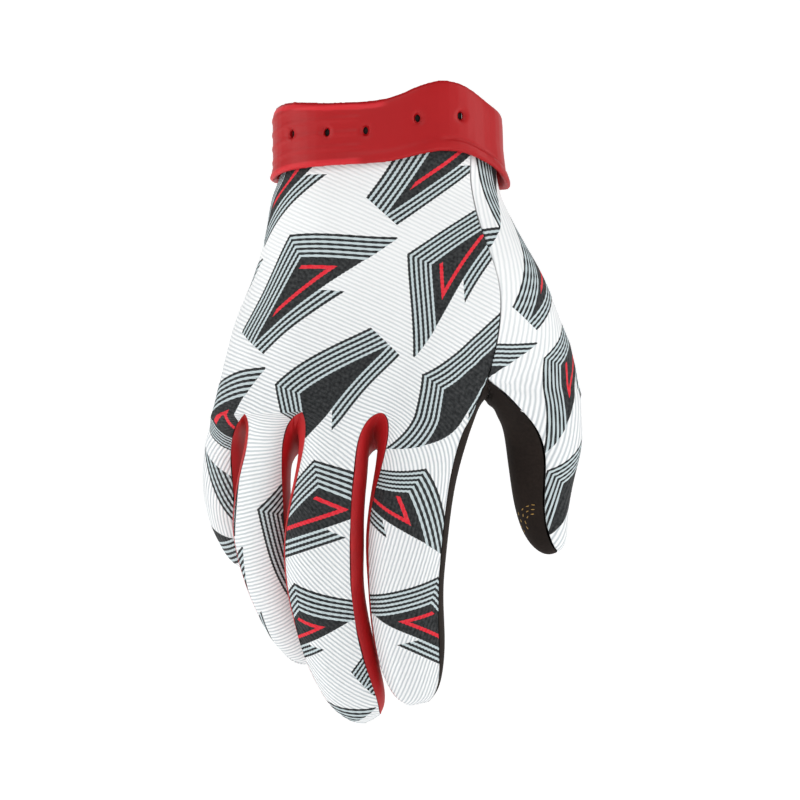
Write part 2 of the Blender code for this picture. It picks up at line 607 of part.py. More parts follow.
def hole_cutter(number, angle, cutters):
    """An upright oblong pin through the band."""
    top, bottom = cuff_rims(angle)
    place = cuff_point(angle, bottom + (top - bottom) * HOLE_LEVEL, CUFF_WALL / 2)
    beside = cuff_point(angle + 1, place.z, 0) - cuff_point(angle - 1, place.z, 0)
    outwards = Vector((beside.y, -beside.x, 0)).normalized()
    mesh = bmesh.new()
    bmesh.ops.create_cone(mesh, cap_ends=True, segments=HOLE_SIDES, radius1=0.5, radius2=0.5, depth=1)
    turn = outwards.to_track_quat("Z", "Y").to_matrix().to_4x4()
    size = Matrix.Diagonal((HOLE_WIDTH, HOLE_HEIGHT, CUFF_WALL * 4, 1))
    bmesh.ops.transform(mesh, matrix=Matrix.Translation(place) @ turn @ size, verts=mesh.verts)
    data = bpy.data.meshes.new("hole_cutter")
    mesh.to_mesh(data)
    mesh.free()
    cutter = bpy.data.objects.new(f"hole_cutter_{number + 1}", data)
    cutter.hide_render = True
    cutter.display_type = "WIRE"
    cutters.objects.link(cutter)
    return cutter


def main():
    for old in list(bpy.data.objects):
        bpy.data.objects.remove(old)
    glove = bpy.data.collections.new("riding_glove")
    cutters = bpy.data.collections.new("cutters")
    for collection in (glove, cutters):
        bpy.context.scene.collection.children.link(collection)

    knit = make_material("printed_knit", WHITE_KNIT, 0.75)
    suede = make_material("black_suede", BLACK_SUEDE, 0.85)
    red = make_material("red_knit", RED_KNIT, 0.7)
    band = make_material("red_band", RED_RUBBER, 0.5)

    skin = Skin()
    rows = hand_rows(skin)
    cover_hand(skin, rows)
    cover_fingers(skin, rows[-1])
    cover_thumb(skin, rows[THUMB_ROW])
    skin.mesh.verts.index_update()
    skin.mesh.faces.index_update()
    skin.mesh.normal_update()

    for name in skin.names:
        material = {"back": knit, "palm": suede, "fourchette": red}.get(name.split("_")[0], knit)
        if name == "thumb_palm":
            material = suede
        add_object(name, cut_panel(skin, name), material, glove)
    skin.mesh.free()
    make_cuff(glove, cutters, band)


main()
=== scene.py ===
import math

import bmesh
import bpy
import numpy as np
from mathutils import Matrix, Vector, noise
from mathutils.bvhtree import BVHTree
from mathutils.kdtree import KDTree


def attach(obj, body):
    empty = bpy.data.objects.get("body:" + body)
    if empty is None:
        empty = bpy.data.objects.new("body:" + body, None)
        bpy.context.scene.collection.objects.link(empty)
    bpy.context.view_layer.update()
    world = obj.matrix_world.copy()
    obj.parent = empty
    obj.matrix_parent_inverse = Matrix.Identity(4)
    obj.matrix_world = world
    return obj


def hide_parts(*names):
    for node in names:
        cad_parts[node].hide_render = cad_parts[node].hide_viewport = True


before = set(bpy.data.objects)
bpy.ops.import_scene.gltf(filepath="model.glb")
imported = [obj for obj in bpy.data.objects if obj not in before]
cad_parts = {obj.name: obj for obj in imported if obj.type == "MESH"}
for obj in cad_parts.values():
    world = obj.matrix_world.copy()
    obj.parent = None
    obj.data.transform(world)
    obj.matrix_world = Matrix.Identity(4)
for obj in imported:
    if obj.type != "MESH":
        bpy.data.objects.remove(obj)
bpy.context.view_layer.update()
MM = 0.001


# Back panel and thumb panel. Two pieces of white ottoman-ribbed stretch knit with a sublimated print, cut flat
# and sewn round the back of the hand, the backs of the four fingers and the outside of the thumb. Their edges
# are turned in at every seam, so a panel ends in a soft roll with a dark line beside it.
EDGE_ROLL = 0.42 * MM          # radius of a turned edge
SHARP = math.radians(48)       # a fold of the CAD wall steeper than this is an edge of the cloth
WALL = 1.3 * MM
MERGE = 0.02 * MM              # points of the CAD mesh closer than this are one
REFINE = 2                     # levels of subdivision

RIB_WIDTH = 1.30 * MM          # one rib of the knit on the back of the hand
THUMB_RIB_WIDTH = 1.9 * MM
RIB_SLANT = math.radians(-22)  # ribs run down to the thumb side on the back
THUMB_RIB_SLANT = math.radians(84)

WHITE_YARN = "#E9EAEA"
# SHADED_YARN is painted shade: the grey given to the furrows between the ribs.
SHADED_YARN = "#B4BBBF"
INK_BLACK = "#0F1214"
INK_GREY = "#B9C6C9"
INK_RED = "#D5152A"
REVERSE_YARN = "#C9CBCB"


def srgb(code):
    """A hex colour as the linear values that a shader takes."""
    parts = [int(code[i:i + 2], 16) / 255 for i in (1, 3, 5)]
    return (*[c / 12.92 if c <= 0.04045 else ((c + 0.055) / 1.055) ** 2.4 for c in parts], 1.0)


def add(tree, kind, links=None, **settings):
    """Adds one node. links names its sockets, each with a value or with another node's output."""
    made = tree.nodes.new(kind)
    for name, value in settings.items():
        setattr(made, name, value)
    for socket, value in (links or {}).items():
        if isinstance(value, bpy.types.Node):
            value = value.outputs[0]
        if isinstance(value, bpy.types.NodeSocket):
            tree.links.new(value, made.inputs[socket])
        else:
            made.inputs[socket].default_value = value
    return made


def new_material(name):
    material = bpy.data.materials.new(name)
    material.use_nodes = True
    return material, material.node_tree, material.node_tree.nodes["Principled BSDF"]


walls = bmesh.new()
for node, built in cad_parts.items():
    if node != "cuff":
        walls.from_mesh(built.data)
wall_tree = BVHTree.FromBMesh(walls)
walls.free()


def faces_hollow(face):
    """Whether a face looks into the glove: most ways out of it then pass through an odd number of walls."""
    start, votes = face.calc_center_median() + face.normal * 0.05 * MM, 0
    for way in ((1, 0.1, 0), (-1, 0.1, 0), (0.1, 1, 0), (0.1, -1, 0), (0.1, 0.1, -1)):
        place, way, hits = start, Vector(way).normalized(), 0
        while (hit := wall_tree.ray_cast(place, way)[0]) is not None:
            place, hits = hit + way * 0.01 * MM, hits + 1
        votes += 1 if hits // 2 % 2 else -1
    return votes > 0


def panel_copy(node):
    """The CAD panel as one merged mesh of four-sided faces, its wall edges rolled. The faces' material index is
    0 outside, 1 inside and 2 on the narrow rim between."""
    mesh = bmesh.new()
    mesh.from_mesh(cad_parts[node].data)
    bmesh.ops.remove_doubles(mesh, verts=mesh.verts, dist=MERGE)
    bmesh.ops.join_triangles(mesh, faces=mesh.faces, angle_face_threshold=math.radians(40),
                             angle_shape_threshold=math.radians(60))
    sharp = {e for e in mesh.edges if e.is_manifold and e.calc_face_angle() > SHARP}
    sides, left = [], set(mesh.faces)
    while left:
        side, front = set(), [left.pop()]
        while front:
            face = front.pop()
            side.add(face)
            for edge in face.edges:
                if edge not in sharp:
                    beyond = [f for f in edge.link_faces if f in left]
                    left.difference_update(beyond)
                    front += beyond
        sides.append(side)
    for side in sides:
        hollow = sum(face.calc_area() * (1 if faces_hollow(face) else -1) for face in side)
        narrow = all(min(e.calc_length() for e in face.edges) < 1.1 * WALL for face in side)
        for face in side:
            face.material_index = 2 if narrow else 1 if hollow > 0 else 0
    bmesh.ops.bevel(mesh, geom=list(sharp), offset=EDGE_ROLL, segments=2, affect="EDGES", profile=0.5,
                    material=-1, clamp_overlap=True)
    return mesh


def as_piece(mesh, name, slot, materials, *nodes):
    """Makes a mesh a piece of the glove that stands for its CAD node."""
    data = bpy.data.meshes.new(name)
    mesh.to_mesh(data)
    mesh.free()
    for material in materials:
        data.materials.append(material)
    data.shade_smooth()
    piece = bpy.data.objects.new(name, data)
    bpy.context.scene.collection.objects.link(piece)
    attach(piece, "root")
    if nodes:
        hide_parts(*nodes)
    return piece


def unwrap(*pieces):
    """Lays the outsides of the panels flat as they were cut, each on its own scale."""
    bpy.context.tool_settings.mesh_select_mode = (False, False, True)
    for piece in pieces:
        data = piece.data
        data.uv_layers.new(name="flat")
        data.vertices.foreach_set("select", [False] * len(data.vertices))
        data.edges.foreach_set("select", [False] * len(data.edges))
        data.polygons.foreach_set("select", [polygon.material_index == 0 for polygon in data.polygons])
        piece.select_set(True)
    bpy.context.view_layer.objects.active = pieces[0]
    bpy.ops.object.mode_set(mode="EDIT")
    bpy.ops.uv.unwrap(method="MINIMUM_STRETCH", iterations=40, margin=0.0)
    bpy.ops.object.mode_set(mode="OBJECT")
    for piece in pieces:
        piece.select_set(False)


def lay_flat(piece, right):
    """Scales the unwrapped outside of a panel to metres, turned with the hand's height along V."""
    data = piece.data
    flat = data.uv_layers["flat"].data
    outside = KDTree(len(data.loops))
    for polygon in data.polygons:
        if polygon.material_index == 0:
            for i in polygon.loop_indices:
                outside.insert(data.vertices[data.loops[i].vertex_index].co, i)
    outside.balance()
    cloth, seen, cloth_area, flat_area = [], [], 0.0, 0.0
    for polygon in data.polygons:
        if polygon.material_index == 0:
            spread = [complex(*flat[i].uv) for i in polygon.loop_indices]
            flat_area += abs(sum((a.conjugate() * b).imag for a, b in zip(spread, spread[1:] + spread[:1]))) / 2
            cloth_area += polygon.area
            cloth += spread
            for i in polygon.loop_indices:
                place = data.vertices[data.loops[i].vertex_index].co
                seen.append(complex(place.dot(right), place.z))
    cloth, seen = np.array(cloth), np.array(seen)
    turn = np.vdot(cloth - cloth.mean(), seen - seen.mean())
    scale = math.sqrt(cloth_area / flat_area) * turn / abs(turn)
    shift = seen.mean() - scale * cloth.mean()
    for loop in flat:
        place = scale * complex(*loop.uv) + shift
        loop.uv = (place.real, place.imag)
    for polygon in data.polygons:
        if polygon.material_index == 2:
            polygon.material_index = 0
            for i in polygon.loop_indices:
                nearest = outside.find(data.vertices[data.loops[i].vertex_index].co)[1]
                flat[i].uv = flat[nearest].uv


def refine(piece, levels=REFINE):
    """Rounds a piece by subdivision and keeps the finer mesh, so that folds can be moved into it."""
    smooth = piece.modifiers.new("refine", "SUBSURF")
    smooth.levels = smooth.render_levels = levels
    shown = piece.evaluated_get(bpy.context.evaluated_depsgraph_get())
    data = bpy.data.meshes.new_from_object(shown)
    piece.modifiers.clear()
    coarse = piece.data
    piece.data = data
    bpy.data.meshes.remove(coarse)
    data.shade_smooth()


FOLD_LENGTH = 15 * MM
FOLD_DEPTH = 0.42 * MM
CROTCH = Vector((0.037, 0.0, -0.093))    # the fork between thumb and index finger, where the cloth is drawn in
CROTCH_FOLDS = 11
CROTCH_DEPTH = 0.30 * MM


def settle(piece):
    """Leaves the cloth as a worn glove has it: long soft folds, and short creases round the thumb's fork."""
    data = piece.data
    inner = {i for polygon in data.polygons if polygon.material_index == 1 for i in polygon.vertices}
    normals = [vertex.normal.copy() for vertex in data.vertices]
    for vertex, normal in zip(data.vertices, normals):
        place = vertex.co / FOLD_LENGTH
        lift = FOLD_DEPTH * noise.noise(Vector((place.x * 1.5, place.y * 1.5, place.z * 0.8)))
        beside = vertex.co - CROTCH
        away = math.hypot(beside.x, beside.z)
        near = max(0.0, 1 - away / (30 * MM)) * min(1.0, away / (6 * MM))
        lift += CROTCH_DEPTH * near * math.sin(CROTCH_FOLDS * math.atan2(beside.z, beside.x))
        vertex.co += normal * (-lift if vertex.index in inner else lift)


# The print: tapered slashes in staggered rows, each with a red line inside two of its edges and grey pinstripes
# outside them. Sizes are millimetres along and across the rows.
PRINT_TURN = math.radians(-50)
ROW_PITCH = 31.0
SLASH_PITCH = 62.0
ROW_STAGGER = 37.0
SLASH_TOP, SLASH_FALL = 24.0, -0.23      # the upper edge at the cut end, and its slope to the tip
SLASH_FOOT, SLASH_RISE = 2.0, 0.14
END_START, END_SLANT, END_REACH = 9.0, 0.95, 0.72
ROW_WAVE, WAVE_SCALE = 18.0, 0.016       # how far the rows bend, over about 60 mm
RIB_SAW = 0.14                           # how far a rib carries an edge with it
TURNED_SHARE, LINED_SHARE = 0.42, 0.78   # slashes that point the other way, and those with a red line
LINE_INSET, LINE_HALF, LINE_STOP = 3.4, 0.6, 1.6
STRIPE_PITCH = 1.62
ECHOES, TAIL_ECHOES, TAIL_FROM = 5, 3, 11.0


def print_ink(tree, flat, rib, shift):
    """The ink on the cloth: a colour output and how much of the white it covers. The ribs saw its edges."""
    placed = add(tree, "ShaderNodeMapping", {0: flat, 1: (*shift, 0.0), 2: (0.0, 0.0, PRINT_TURN),
                                             3: (1 / MM, 1 / MM, 1.0)})
    wave = add(tree, "ShaderNodeTexNoise", {"Vector": placed, "Scale": WAVE_SCALE, "Detail": 0.0})
    place = add(tree, "ShaderNodeSeparateXYZ", {0: placed})
    across = add(tree, "ShaderNodeMath", {0: rib, 1: RIB_SAW, 2: place.outputs[1]}, operation="MULTIPLY_ADD")
    across = add(tree, "ShaderNodeMath", {0: wave, 1: ROW_WAVE, 2: across}, operation="MULTIPLY_ADD")
    row = add(tree, "ShaderNodeMath", {0: across, 1: ROW_PITCH}, operation="DIVIDE")
    row = add(tree, "ShaderNodeMath", {0: row}, operation="FLOOR")
    y = add(tree, "ShaderNodeMath", {0: across, 1: ROW_PITCH}, operation="FLOORED_MODULO")
    along = add(tree, "ShaderNodeMath", {0: row, 1: ROW_STAGGER, 2: place.outputs[0]}, operation="MULTIPLY_ADD")
    slot = add(tree, "ShaderNodeMath", {0: along, 1: SLASH_PITCH}, operation="DIVIDE")
    slot = add(tree, "ShaderNodeMath", {0: slot}, operation="FLOOR")
    x = add(tree, "ShaderNodeMath", {0: along, 1: SLASH_PITCH}, operation="FLOORED_MODULO")
    cell = add(tree, "ShaderNodeCombineXYZ", {0: row, 1: slot})
    chance = add(tree, "ShaderNodeTexWhiteNoise", {"Vector": cell}, noise_dimensions="3D")
    turned = add(tree, "ShaderNodeMath", {0: chance.outputs["Value"], 1: TURNED_SHARE}, operation="LESS_THAN")
    mirrored = add(tree, "ShaderNodeMath", {0: SLASH_PITCH, 1: x}, operation="SUBTRACT")
    x = add(tree, "ShaderNodeMix", {0: turned, 2: x, 3: mirrored}, data_type="FLOAT")

    # A slash: below its upper edge, above its lower edge, and beyond its cut end.
    upper = add(tree, "ShaderNodeMath", {0: x, 1: SLASH_FALL, 2: SLASH_TOP}, operation="MULTIPLY_ADD")
    below = add(tree, "ShaderNodeMath", {0: upper, 1: y}, operation="SUBTRACT")
    lower = add(tree, "ShaderNodeMath", {0: x, 1: SLASH_RISE, 2: SLASH_FOOT}, operation="MULTIPLY_ADD")
    above = add(tree, "ShaderNodeMath", {0: y, 1: lower}, operation="SUBTRACT")
    end = add(tree, "ShaderNodeMath", {0: y, 1: END_SLANT, 2: END_START}, operation="MULTIPLY_ADD")
    beyond = add(tree, "ShaderNodeMath", {0: x, 1: end}, operation="SUBTRACT")
    beyond = add(tree, "ShaderNodeMath", {0: beyond, 1: END_REACH}, operation="MULTIPLY")
    inner = add(tree, "ShaderNodeMath", {0: above, 1: beyond}, operation="MINIMUM")
    depth = add(tree, "ShaderNodeMath", {0: inner, 1: below}, operation="MINIMUM")
    black = add(tree, "ShaderNodeMath", {0: depth, 1: 0.0}, operation="GREATER_THAN")

    # The red line lies inside the lower edge and the cut end.
    off_line = add(tree, "ShaderNodeMath", {0: inner, 1: LINE_INSET}, operation="SUBTRACT")
    off_line = add(tree, "ShaderNodeMath", {0: off_line}, operation="ABSOLUTE")
    red = add(tree, "ShaderNodeMath", {0: off_line, 1: LINE_HALF}, operation="LESS_THAN")
    inside = add(tree, "ShaderNodeMath", {0: below, 1: LINE_STOP}, operation="GREATER_THAN")
    red = add(tree, "ShaderNodeMath", {0: red, 1: inside}, operation="MULTIPLY")
    some = add(tree, "ShaderNodeMath", {0: chance.outputs["Value"], 1: LINED_SHARE}, operation="LESS_THAN")
    red = add(tree, "ShaderNodeMath", {0: red, 1: some}, operation="MULTIPLY")

    # Pinstripes: five echoes outside the upper edge and the cut end, and three under the tail.
    outside = add(tree, "ShaderNodeMath", {0: below, 1: beyond}, operation="MINIMUM")
    outside = add(tree, "ShaderNodeMath", {0: outside, 1: -1.0}, operation="MULTIPLY")
    past = add(tree, "ShaderNodeMath", {0: outside, 1: 0.0}, operation="GREATER_THAN")
    near = add(tree, "ShaderNodeMath", {0: outside, 1: ECHOES * STRIPE_PITCH}, operation="LESS_THAN")
    over = add(tree, "ShaderNodeMath", {0: above, 1: -0.2}, operation="GREATER_THAN")
    echo = add(tree, "ShaderNodeMath", {0: past, 1: near}, operation="MULTIPLY")
    echo = add(tree, "ShaderNodeMath", {0: echo, 1: over}, operation="MULTIPLY")
    under = add(tree, "ShaderNodeMath", {0: above, 1: -1.0}, operation="MULTIPLY")
    shallow = add(tree, "ShaderNodeMath", {0: under, 1: TAIL_ECHOES * STRIPE_PITCH}, operation="LESS_THAN")
    deep = add(tree, "ShaderNodeMath", {0: under, 1: 0.0}, operation="GREATER_THAN")
    tail = add(tree, "ShaderNodeMath", {0: beyond, 1: TAIL_FROM}, operation="GREATER_THAN")
    below_tail = add(tree, "ShaderNodeMath", {0: shallow, 1: deep}, operation="MULTIPLY")
    below_tail = add(tree, "ShaderNodeMath", {0: below_tail, 1: tail}, operation="MULTIPLY")
    outside = add(tree, "ShaderNodeMix", {0: below_tail, 2: outside, 3: under}, data_type="FLOAT")
    echo = add(tree, "ShaderNodeMath", {0: echo, 1: below_tail}, operation="MAXIMUM")
    short = add(tree, "ShaderNodeMath", {0: x, 1: SLASH_PITCH - 3}, operation="LESS_THAN")
    echo = add(tree, "ShaderNodeMath", {0: echo, 1: short}, operation="MULTIPLY")
    stripe = add(tree, "ShaderNodeMath", {0: outside, 1: STRIPE_PITCH}, operation="FLOORED_MODULO")
    stripe = add(tree, "ShaderNodeMath", {0: stripe, 1: STRIPE_PITCH * 0.48}, operation="GREATER_THAN")
    line = add(tree, "ShaderNodeMath", {0: echo, 1: stripe}, operation="MULTIPLY")

    covered = add(tree, "ShaderNodeMath", {0: black, 1: echo}, operation="MAXIMUM")
    dark = add(tree, "ShaderNodeMath", {0: black, 1: line}, operation="MAXIMUM")
    ink = add(tree, "ShaderNodeMix", {0: dark, 6: srgb(INK_GREY), 7: srgb(INK_BLACK)}, data_type="RGBA")
    ink = add(tree, "ShaderNodeMix", {0: red, 6: ink.outputs[2], 7: srgb(INK_RED)}, data_type="RGBA")
    return ink.outputs[2], covered


def printed_knit(name, rib_width, rib_slant, shift):
    """Polyester knit: matt yarn, raised ribs with narrow furrows painted grey as painted shade, and ink that sinks
    into them. The ribs stand up more on the fingers and the thumb, where the knit is less stretched, and the
    painted shade in their furrows is deeper there."""
    material, tree, shader = new_material(name)
    flat = add(tree, "ShaderNodeUVMap", uv_map="flat")
    ribs = add(tree, "ShaderNodeMapping", {0: flat, 2: (0.0, 0.0, -rib_slant)})
    rib = add(tree, "ShaderNodeTexWave", {"Vector": ribs, "Scale": math.pi * 0.1 / rib_width,
                                          "Distortion": 0.6, "Detail": 1.0, "Detail Scale": 2.0},
              wave_type="BANDS", bands_direction="Y", wave_profile="SIN")
    height = add(tree, "ShaderNodeSeparateXYZ", {0: flat})
    relaxed = add(tree, "ShaderNodeMapRange", {0: height.outputs[1], 1: -0.06, 2: -0.115, 3: 0.45, 4: 1.0})
    furrow = add(tree, "ShaderNodeMath", {0: 1.0, 1: rib.outputs["Color"]}, operation="SUBTRACT")
    furrow = add(tree, "ShaderNodeMath", {0: furrow, 1: 1.8}, operation="POWER")
    furrow = add(tree, "ShaderNodeMath", {0: furrow, 1: relaxed}, operation="MULTIPLY")
    yarn = add(tree, "ShaderNodeTexNoise", {"Vector": flat, "Scale": 2600.0, "Detail": 2.0})
    raised = add(tree, "ShaderNodeMath", {0: yarn, 1: 0.22}, operation="MULTIPLY")
    raised = add(tree, "ShaderNodeMath", {0: raised, 1: furrow}, operation="SUBTRACT")
    # Painted shade: the furrows between ribs are painted grey, on top of their bump, and more so on the fingers.
    white = add(tree, "ShaderNodeMix", {0: furrow, 6: srgb(WHITE_YARN), 7: srgb(SHADED_YARN)}, data_type="RGBA")
    ink, covered = print_ink(tree, flat, rib.outputs["Color"], shift)
    worn = add(tree, "ShaderNodeTexNoise", {"Vector": flat, "Scale": 900.0, "Detail": 3.0})
    worn = add(tree, "ShaderNodeMapRange", {0: worn, 1: 0.3, 2: 0.7, 3: 0.95, 4: 1.0})
    hold = add(tree, "ShaderNodeMath", {0: covered, 1: worn}, operation="MULTIPLY")
    colour = add(tree, "ShaderNodeMix", {0: hold, 6: white.outputs[2], 7: ink}, data_type="RGBA")
    bump = add(tree, "ShaderNodeBump", {"Strength": 0.8, "Distance": 0.24 * MM, "Height": raised})
    tree.links.new(colour.outputs[2], shader.inputs["Base Color"])
    tree.links.new(bump.outputs[0], shader.inputs["Normal"])
    shader.inputs["Roughness"].default_value = 0.78
    shader.inputs["Sheen Weight"].default_value = 0.03
    shader.inputs["Sheen Roughness"].default_value = 0.5
    shader.inputs["Specular IOR Level"].default_value = 0.2
    return material


# The knit's reverse, brushed to a short pile: dull and slightly grey where the wrist opening shows it.
reverse, tree, shader = new_material("brushed_knit_reverse")
place = add(tree, "ShaderNodeTexCoord")
loops = add(tree, "ShaderNodeTexNoise", {"Vector": place.outputs["Object"], "Scale": 1400.0, "Detail": 2.0})
bump = add(tree, "ShaderNodeBump", {"Strength": 0.4, "Distance": 0.15 * MM, "Height": loops})
tree.links.new(bump.outputs[0], shader.inputs["Normal"])
shader.inputs["Base Color"].default_value = srgb(REVERSE_YARN)
shader.inputs["Roughness"].default_value = 0.85

back_knit = printed_knit("ribbed_knit_back", RIB_WIDTH, RIB_SLANT, (11.0, 4.0))
thumb_knit = printed_knit("ribbed_knit_thumb", THUMB_RIB_WIDTH, THUMB_RIB_SLANT, (30.0, 21.0))

back = as_piece(panel_copy("back_panel"), "printed_back_panel", "printed_knit", (back_knit, reverse), "back_panel")
thumb = as_piece(panel_copy("thumb_back"), "printed_thumb_panel", "printed_knit", (thumb_knit, reverse),
                 "thumb_back")
unwrap(back, thumb)
lay_flat(back, Vector((1, 0, 0)))
lay_flat(thumb, Vector((0.5, 0.8, 0)).normalized())
refine(back)
refine(thumb)
settle(back)
settle(thumb)


# Palm panel and inner thumb panel. Black synthetic suede on the palm, the fingers' fronts, the thumb side of the
# index finger and the inside of the thumb: a matt nap that takes the light softly, with a faint brown cast.
SUEDE_BLACK = "#17110E"
SUEDE_LIT = "#231B17"
NAP_SIZE = 0.9 * MM

suede, tree, shader = new_material("black_synthetic_suede")
place = add(tree, "ShaderNodeTexCoord")
nap = add(tree, "ShaderNodeTexNoise", {"Vector": place.outputs["Object"], "Scale": 1 / NAP_SIZE, "Detail": 5.0,
                                       "Roughness": 0.65})
brushed = add(tree, "ShaderNodeTexNoise", {"Vector": place.outputs["Object"], "Scale": 70.0, "Detail": 3.0})
shade = add(tree, "ShaderNodeMath", {0: nap, 1: brushed}, operation="MULTIPLY")
shade = add(tree, "ShaderNodeMapRange", {0: shade, 1: 0.16, 2: 0.36})
colour = add(tree, "ShaderNodeMix", {0: shade, 6: srgb(SUEDE_BLACK), 7: srgb(SUEDE_LIT)}, data_type="RGBA")
bump = add(tree, "ShaderNodeBump", {"Strength": 0.5, "Distance": 0.12 * MM, "Height": nap})
tree.links.new(colour.outputs[2], shader.inputs["Base Color"])
tree.links.new(bump.outputs[0], shader.inputs["Normal"])
shader.inputs["Roughness"].default_value = 0.9
shader.inputs["Sheen Weight"].default_value = 0.10
shader.inputs["Sheen Roughness"].default_value = 0.6
shader.inputs["Sheen Tint"].default_value = srgb("#6B5A50")
shader.inputs["Specular IOR Level"].default_value = 0.2

palm = as_piece(panel_copy("palm_panel"), "suede_palm_panel", "black_suede", (suede, suede), "palm_panel")
refine(palm)
settle(palm)
thumb_face = as_piece(panel_copy("thumb_palm"), "suede_thumb_panel", "black_suede", (suede, suede), "thumb_palm")
refine(thumb_face)
settle(thumb_face)

# Three arcs of topstitching in gold thread on the pad of the thumb.
STITCH_LENGTH, STITCH_GAP, THREAD = 1.25 * MM, 0.75 * MM, 0.17 * MM
ARC_CENTRE = (0.0485, -0.1380)
ARC_RADII = (2.9 * MM, 4.4 * MM, 5.9 * MM)
ARC_FROM, ARC_TO = math.radians(85), math.radians(235)

# Twisted thread: small light and dark turns of gold along each stitch.
gold, tree, shader = new_material("gold_polyester_thread")
place = add(tree, "ShaderNodeTexCoord")
twist = add(tree, "ShaderNodeTexNoise", {"Vector": place.outputs["Object"], "Scale": 4000.0, "Detail": 1.0})
colour = add(tree, "ShaderNodeMix", {0: twist, 6: srgb("#8A6A2C"), 7: srgb("#C79C4B")}, data_type="RGBA")
tree.links.new(colour.outputs[2], shader.inputs["Base Color"])
shader.inputs["Roughness"].default_value = 0.45

pad = bmesh.new()
pad.from_mesh(thumb_face.data)
pad_tree = BVHTree.FromBMesh(pad)
pad.free()
arcs = bmesh.new()
for radius in ARC_RADII:
    count = round(radius * (ARC_TO - ARC_FROM) / (STITCH_LENGTH + STITCH_GAP))
    for number in range(count):
        turn = ARC_FROM + (ARC_TO - ARC_FROM) * (number + 0.5) / count
        x, z = ARC_CENTRE[0] + radius * math.cos(turn), ARC_CENTRE[1] + radius * math.sin(turn)
        place, normal, _, _ = pad_tree.ray_cast(Vector((x, -0.1, z)), Vector((0, 1, 0)))
        if place is None:
            continue
        along = Vector((-math.sin(turn), 0, math.cos(turn)))
        along = (along - normal * along.dot(normal)).normalized()
        way = Matrix((along, normal.cross(along), normal)).transposed().to_4x4()
        bmesh.ops.create_uvsphere(arcs, u_segments=10, v_segments=6, radius=1.0, matrix=Matrix.Translation(place)
                                  @ way @ Matrix.Diagonal((STITCH_LENGTH / 2, THREAD, THREAD * 0.8, 1)))
as_piece(arcs, "thumb_topstitch", None, (gold,))


# Fourchettes. Red stretch knit strips that line the sides of two neighbouring fingers and turn over at the fork
# between them; a finer, smoother knit than the back. Their edges, where they meet the white, carry a painted
# highlight.
FINGER_RED = "#B9020F"
FINGER_RED_DEEP = "#97000A"
# Painted highlight colours for the strips' turned edges.
EDGE_HIGHLIGHT_RED = "#DA0A1B"
EDGE_HIGHLIGHT_RED_DEEP = "#C20414"
KNIT_LOOP = 0.55 * MM

red_knit, tree, shader = new_material("red_stretch_knit")
place = add(tree, "ShaderNodeTexCoord")
loop = add(tree, "ShaderNodeTexVoronoi", {"Vector": place.outputs["Object"], "Scale": 1 / KNIT_LOOP})
mottle = add(tree, "ShaderNodeTexNoise", {"Vector": place.outputs["Object"], "Scale": 160.0, "Detail": 3.0})
colour = add(tree, "ShaderNodeMix", {0: mottle, 6: srgb(FINGER_RED_DEEP), 7: srgb(FINGER_RED)}, data_type="RGBA")
bump = add(tree, "ShaderNodeBump", {"Strength": 0.3, "Distance": 0.1 * MM, "Height": loop.outputs["Distance"]})
tree.links.new(colour.outputs[2], shader.inputs["Base Color"])
tree.links.new(bump.outputs[0], shader.inputs["Normal"])
shader.inputs["Roughness"].default_value = 0.62
shader.inputs["Sheen Weight"].default_value = 0.2
shader.inputs["Sheen Tint"].default_value = srgb("#FF5A50")

# Where the strip is turned at its seams, its narrow edge faces are painted a brighter red: a painted highlight.
painted_edge_highlight = red_knit.copy()
painted_edge_highlight.name = "red_knit_turned_edge"
for mix in painted_edge_highlight.node_tree.nodes:
    if mix.bl_idname == "ShaderNodeMix":
        mix.inputs[6].default_value, mix.inputs[7].default_value = srgb(EDGE_HIGHLIGHT_RED_DEEP), srgb(EDGE_HIGHLIGHT_RED)

for gap in ("little_ring", "ring_middle", "middle_index"):
    side = as_piece(panel_copy(f"fourchette_{gap}"), f"red_fourchette_{gap}", "red_knit",
                    (red_knit, red_knit, painted_edge_highlight), f"fourchette_{gap}")
    refine(side)
    settle(side)


# Cuff. One moulded band of soft red thermoplastic rubber, smooth and matt, with rounded rims, a pressed border
# along the little-finger half of both rims that is painted a lighter red as a painted highlight, a raised lip
# below the thumb side and five oblong holes in dishes.
# A dull black fill is set into each hole, so that the holes read dark.
BAND_GRAIN = 0.42 * MM
BAND_RED = "#A80009"
BAND_RED_DEEP = "#9A0007"
# The lighter red of the painted highlight on the little-finger borders.
CUFF_HIGHLIGHT_RED = "#D2202B"
HOLES = ((-30.95, -14.95, -10.2), (-19.8, -21.78, -9.87), (-7.18, -24.36, -9.36), (9.73, -24.08, -5.35),
         (23.61, -20.1, -4.41))             # mm, in the middle of the wall
HOLE_SIZE = (2.3 * MM, 3.5 * MM)
DISH_REACH, DISH_DEPTH = 3.4 * MM, 0.62 * MM
TOP_BORDER, TOP_PRESS = 2.5 * MM, 0.45 * MM
FOOT_BORDER, FOOT_SWELL = 2.3 * MM, 0.28 * MM
LIP_HEIGHT, LIP_GROOVE, GROOVE_WIDTH = 4.1 * MM, 0.5 * MM, 0.5 * MM

band, tree, shader = new_material("moulded_red_rubber")
place = add(tree, "ShaderNodeTexCoord")
flow = add(tree, "ShaderNodeTexNoise", {"Vector": place.outputs["Object"], "Scale": 60.0, "Detail": 2.0})
colour = add(tree, "ShaderNodeMix", {0: flow, 6: srgb(BAND_RED_DEEP), 7: srgb(BAND_RED)}, data_type="RGBA")
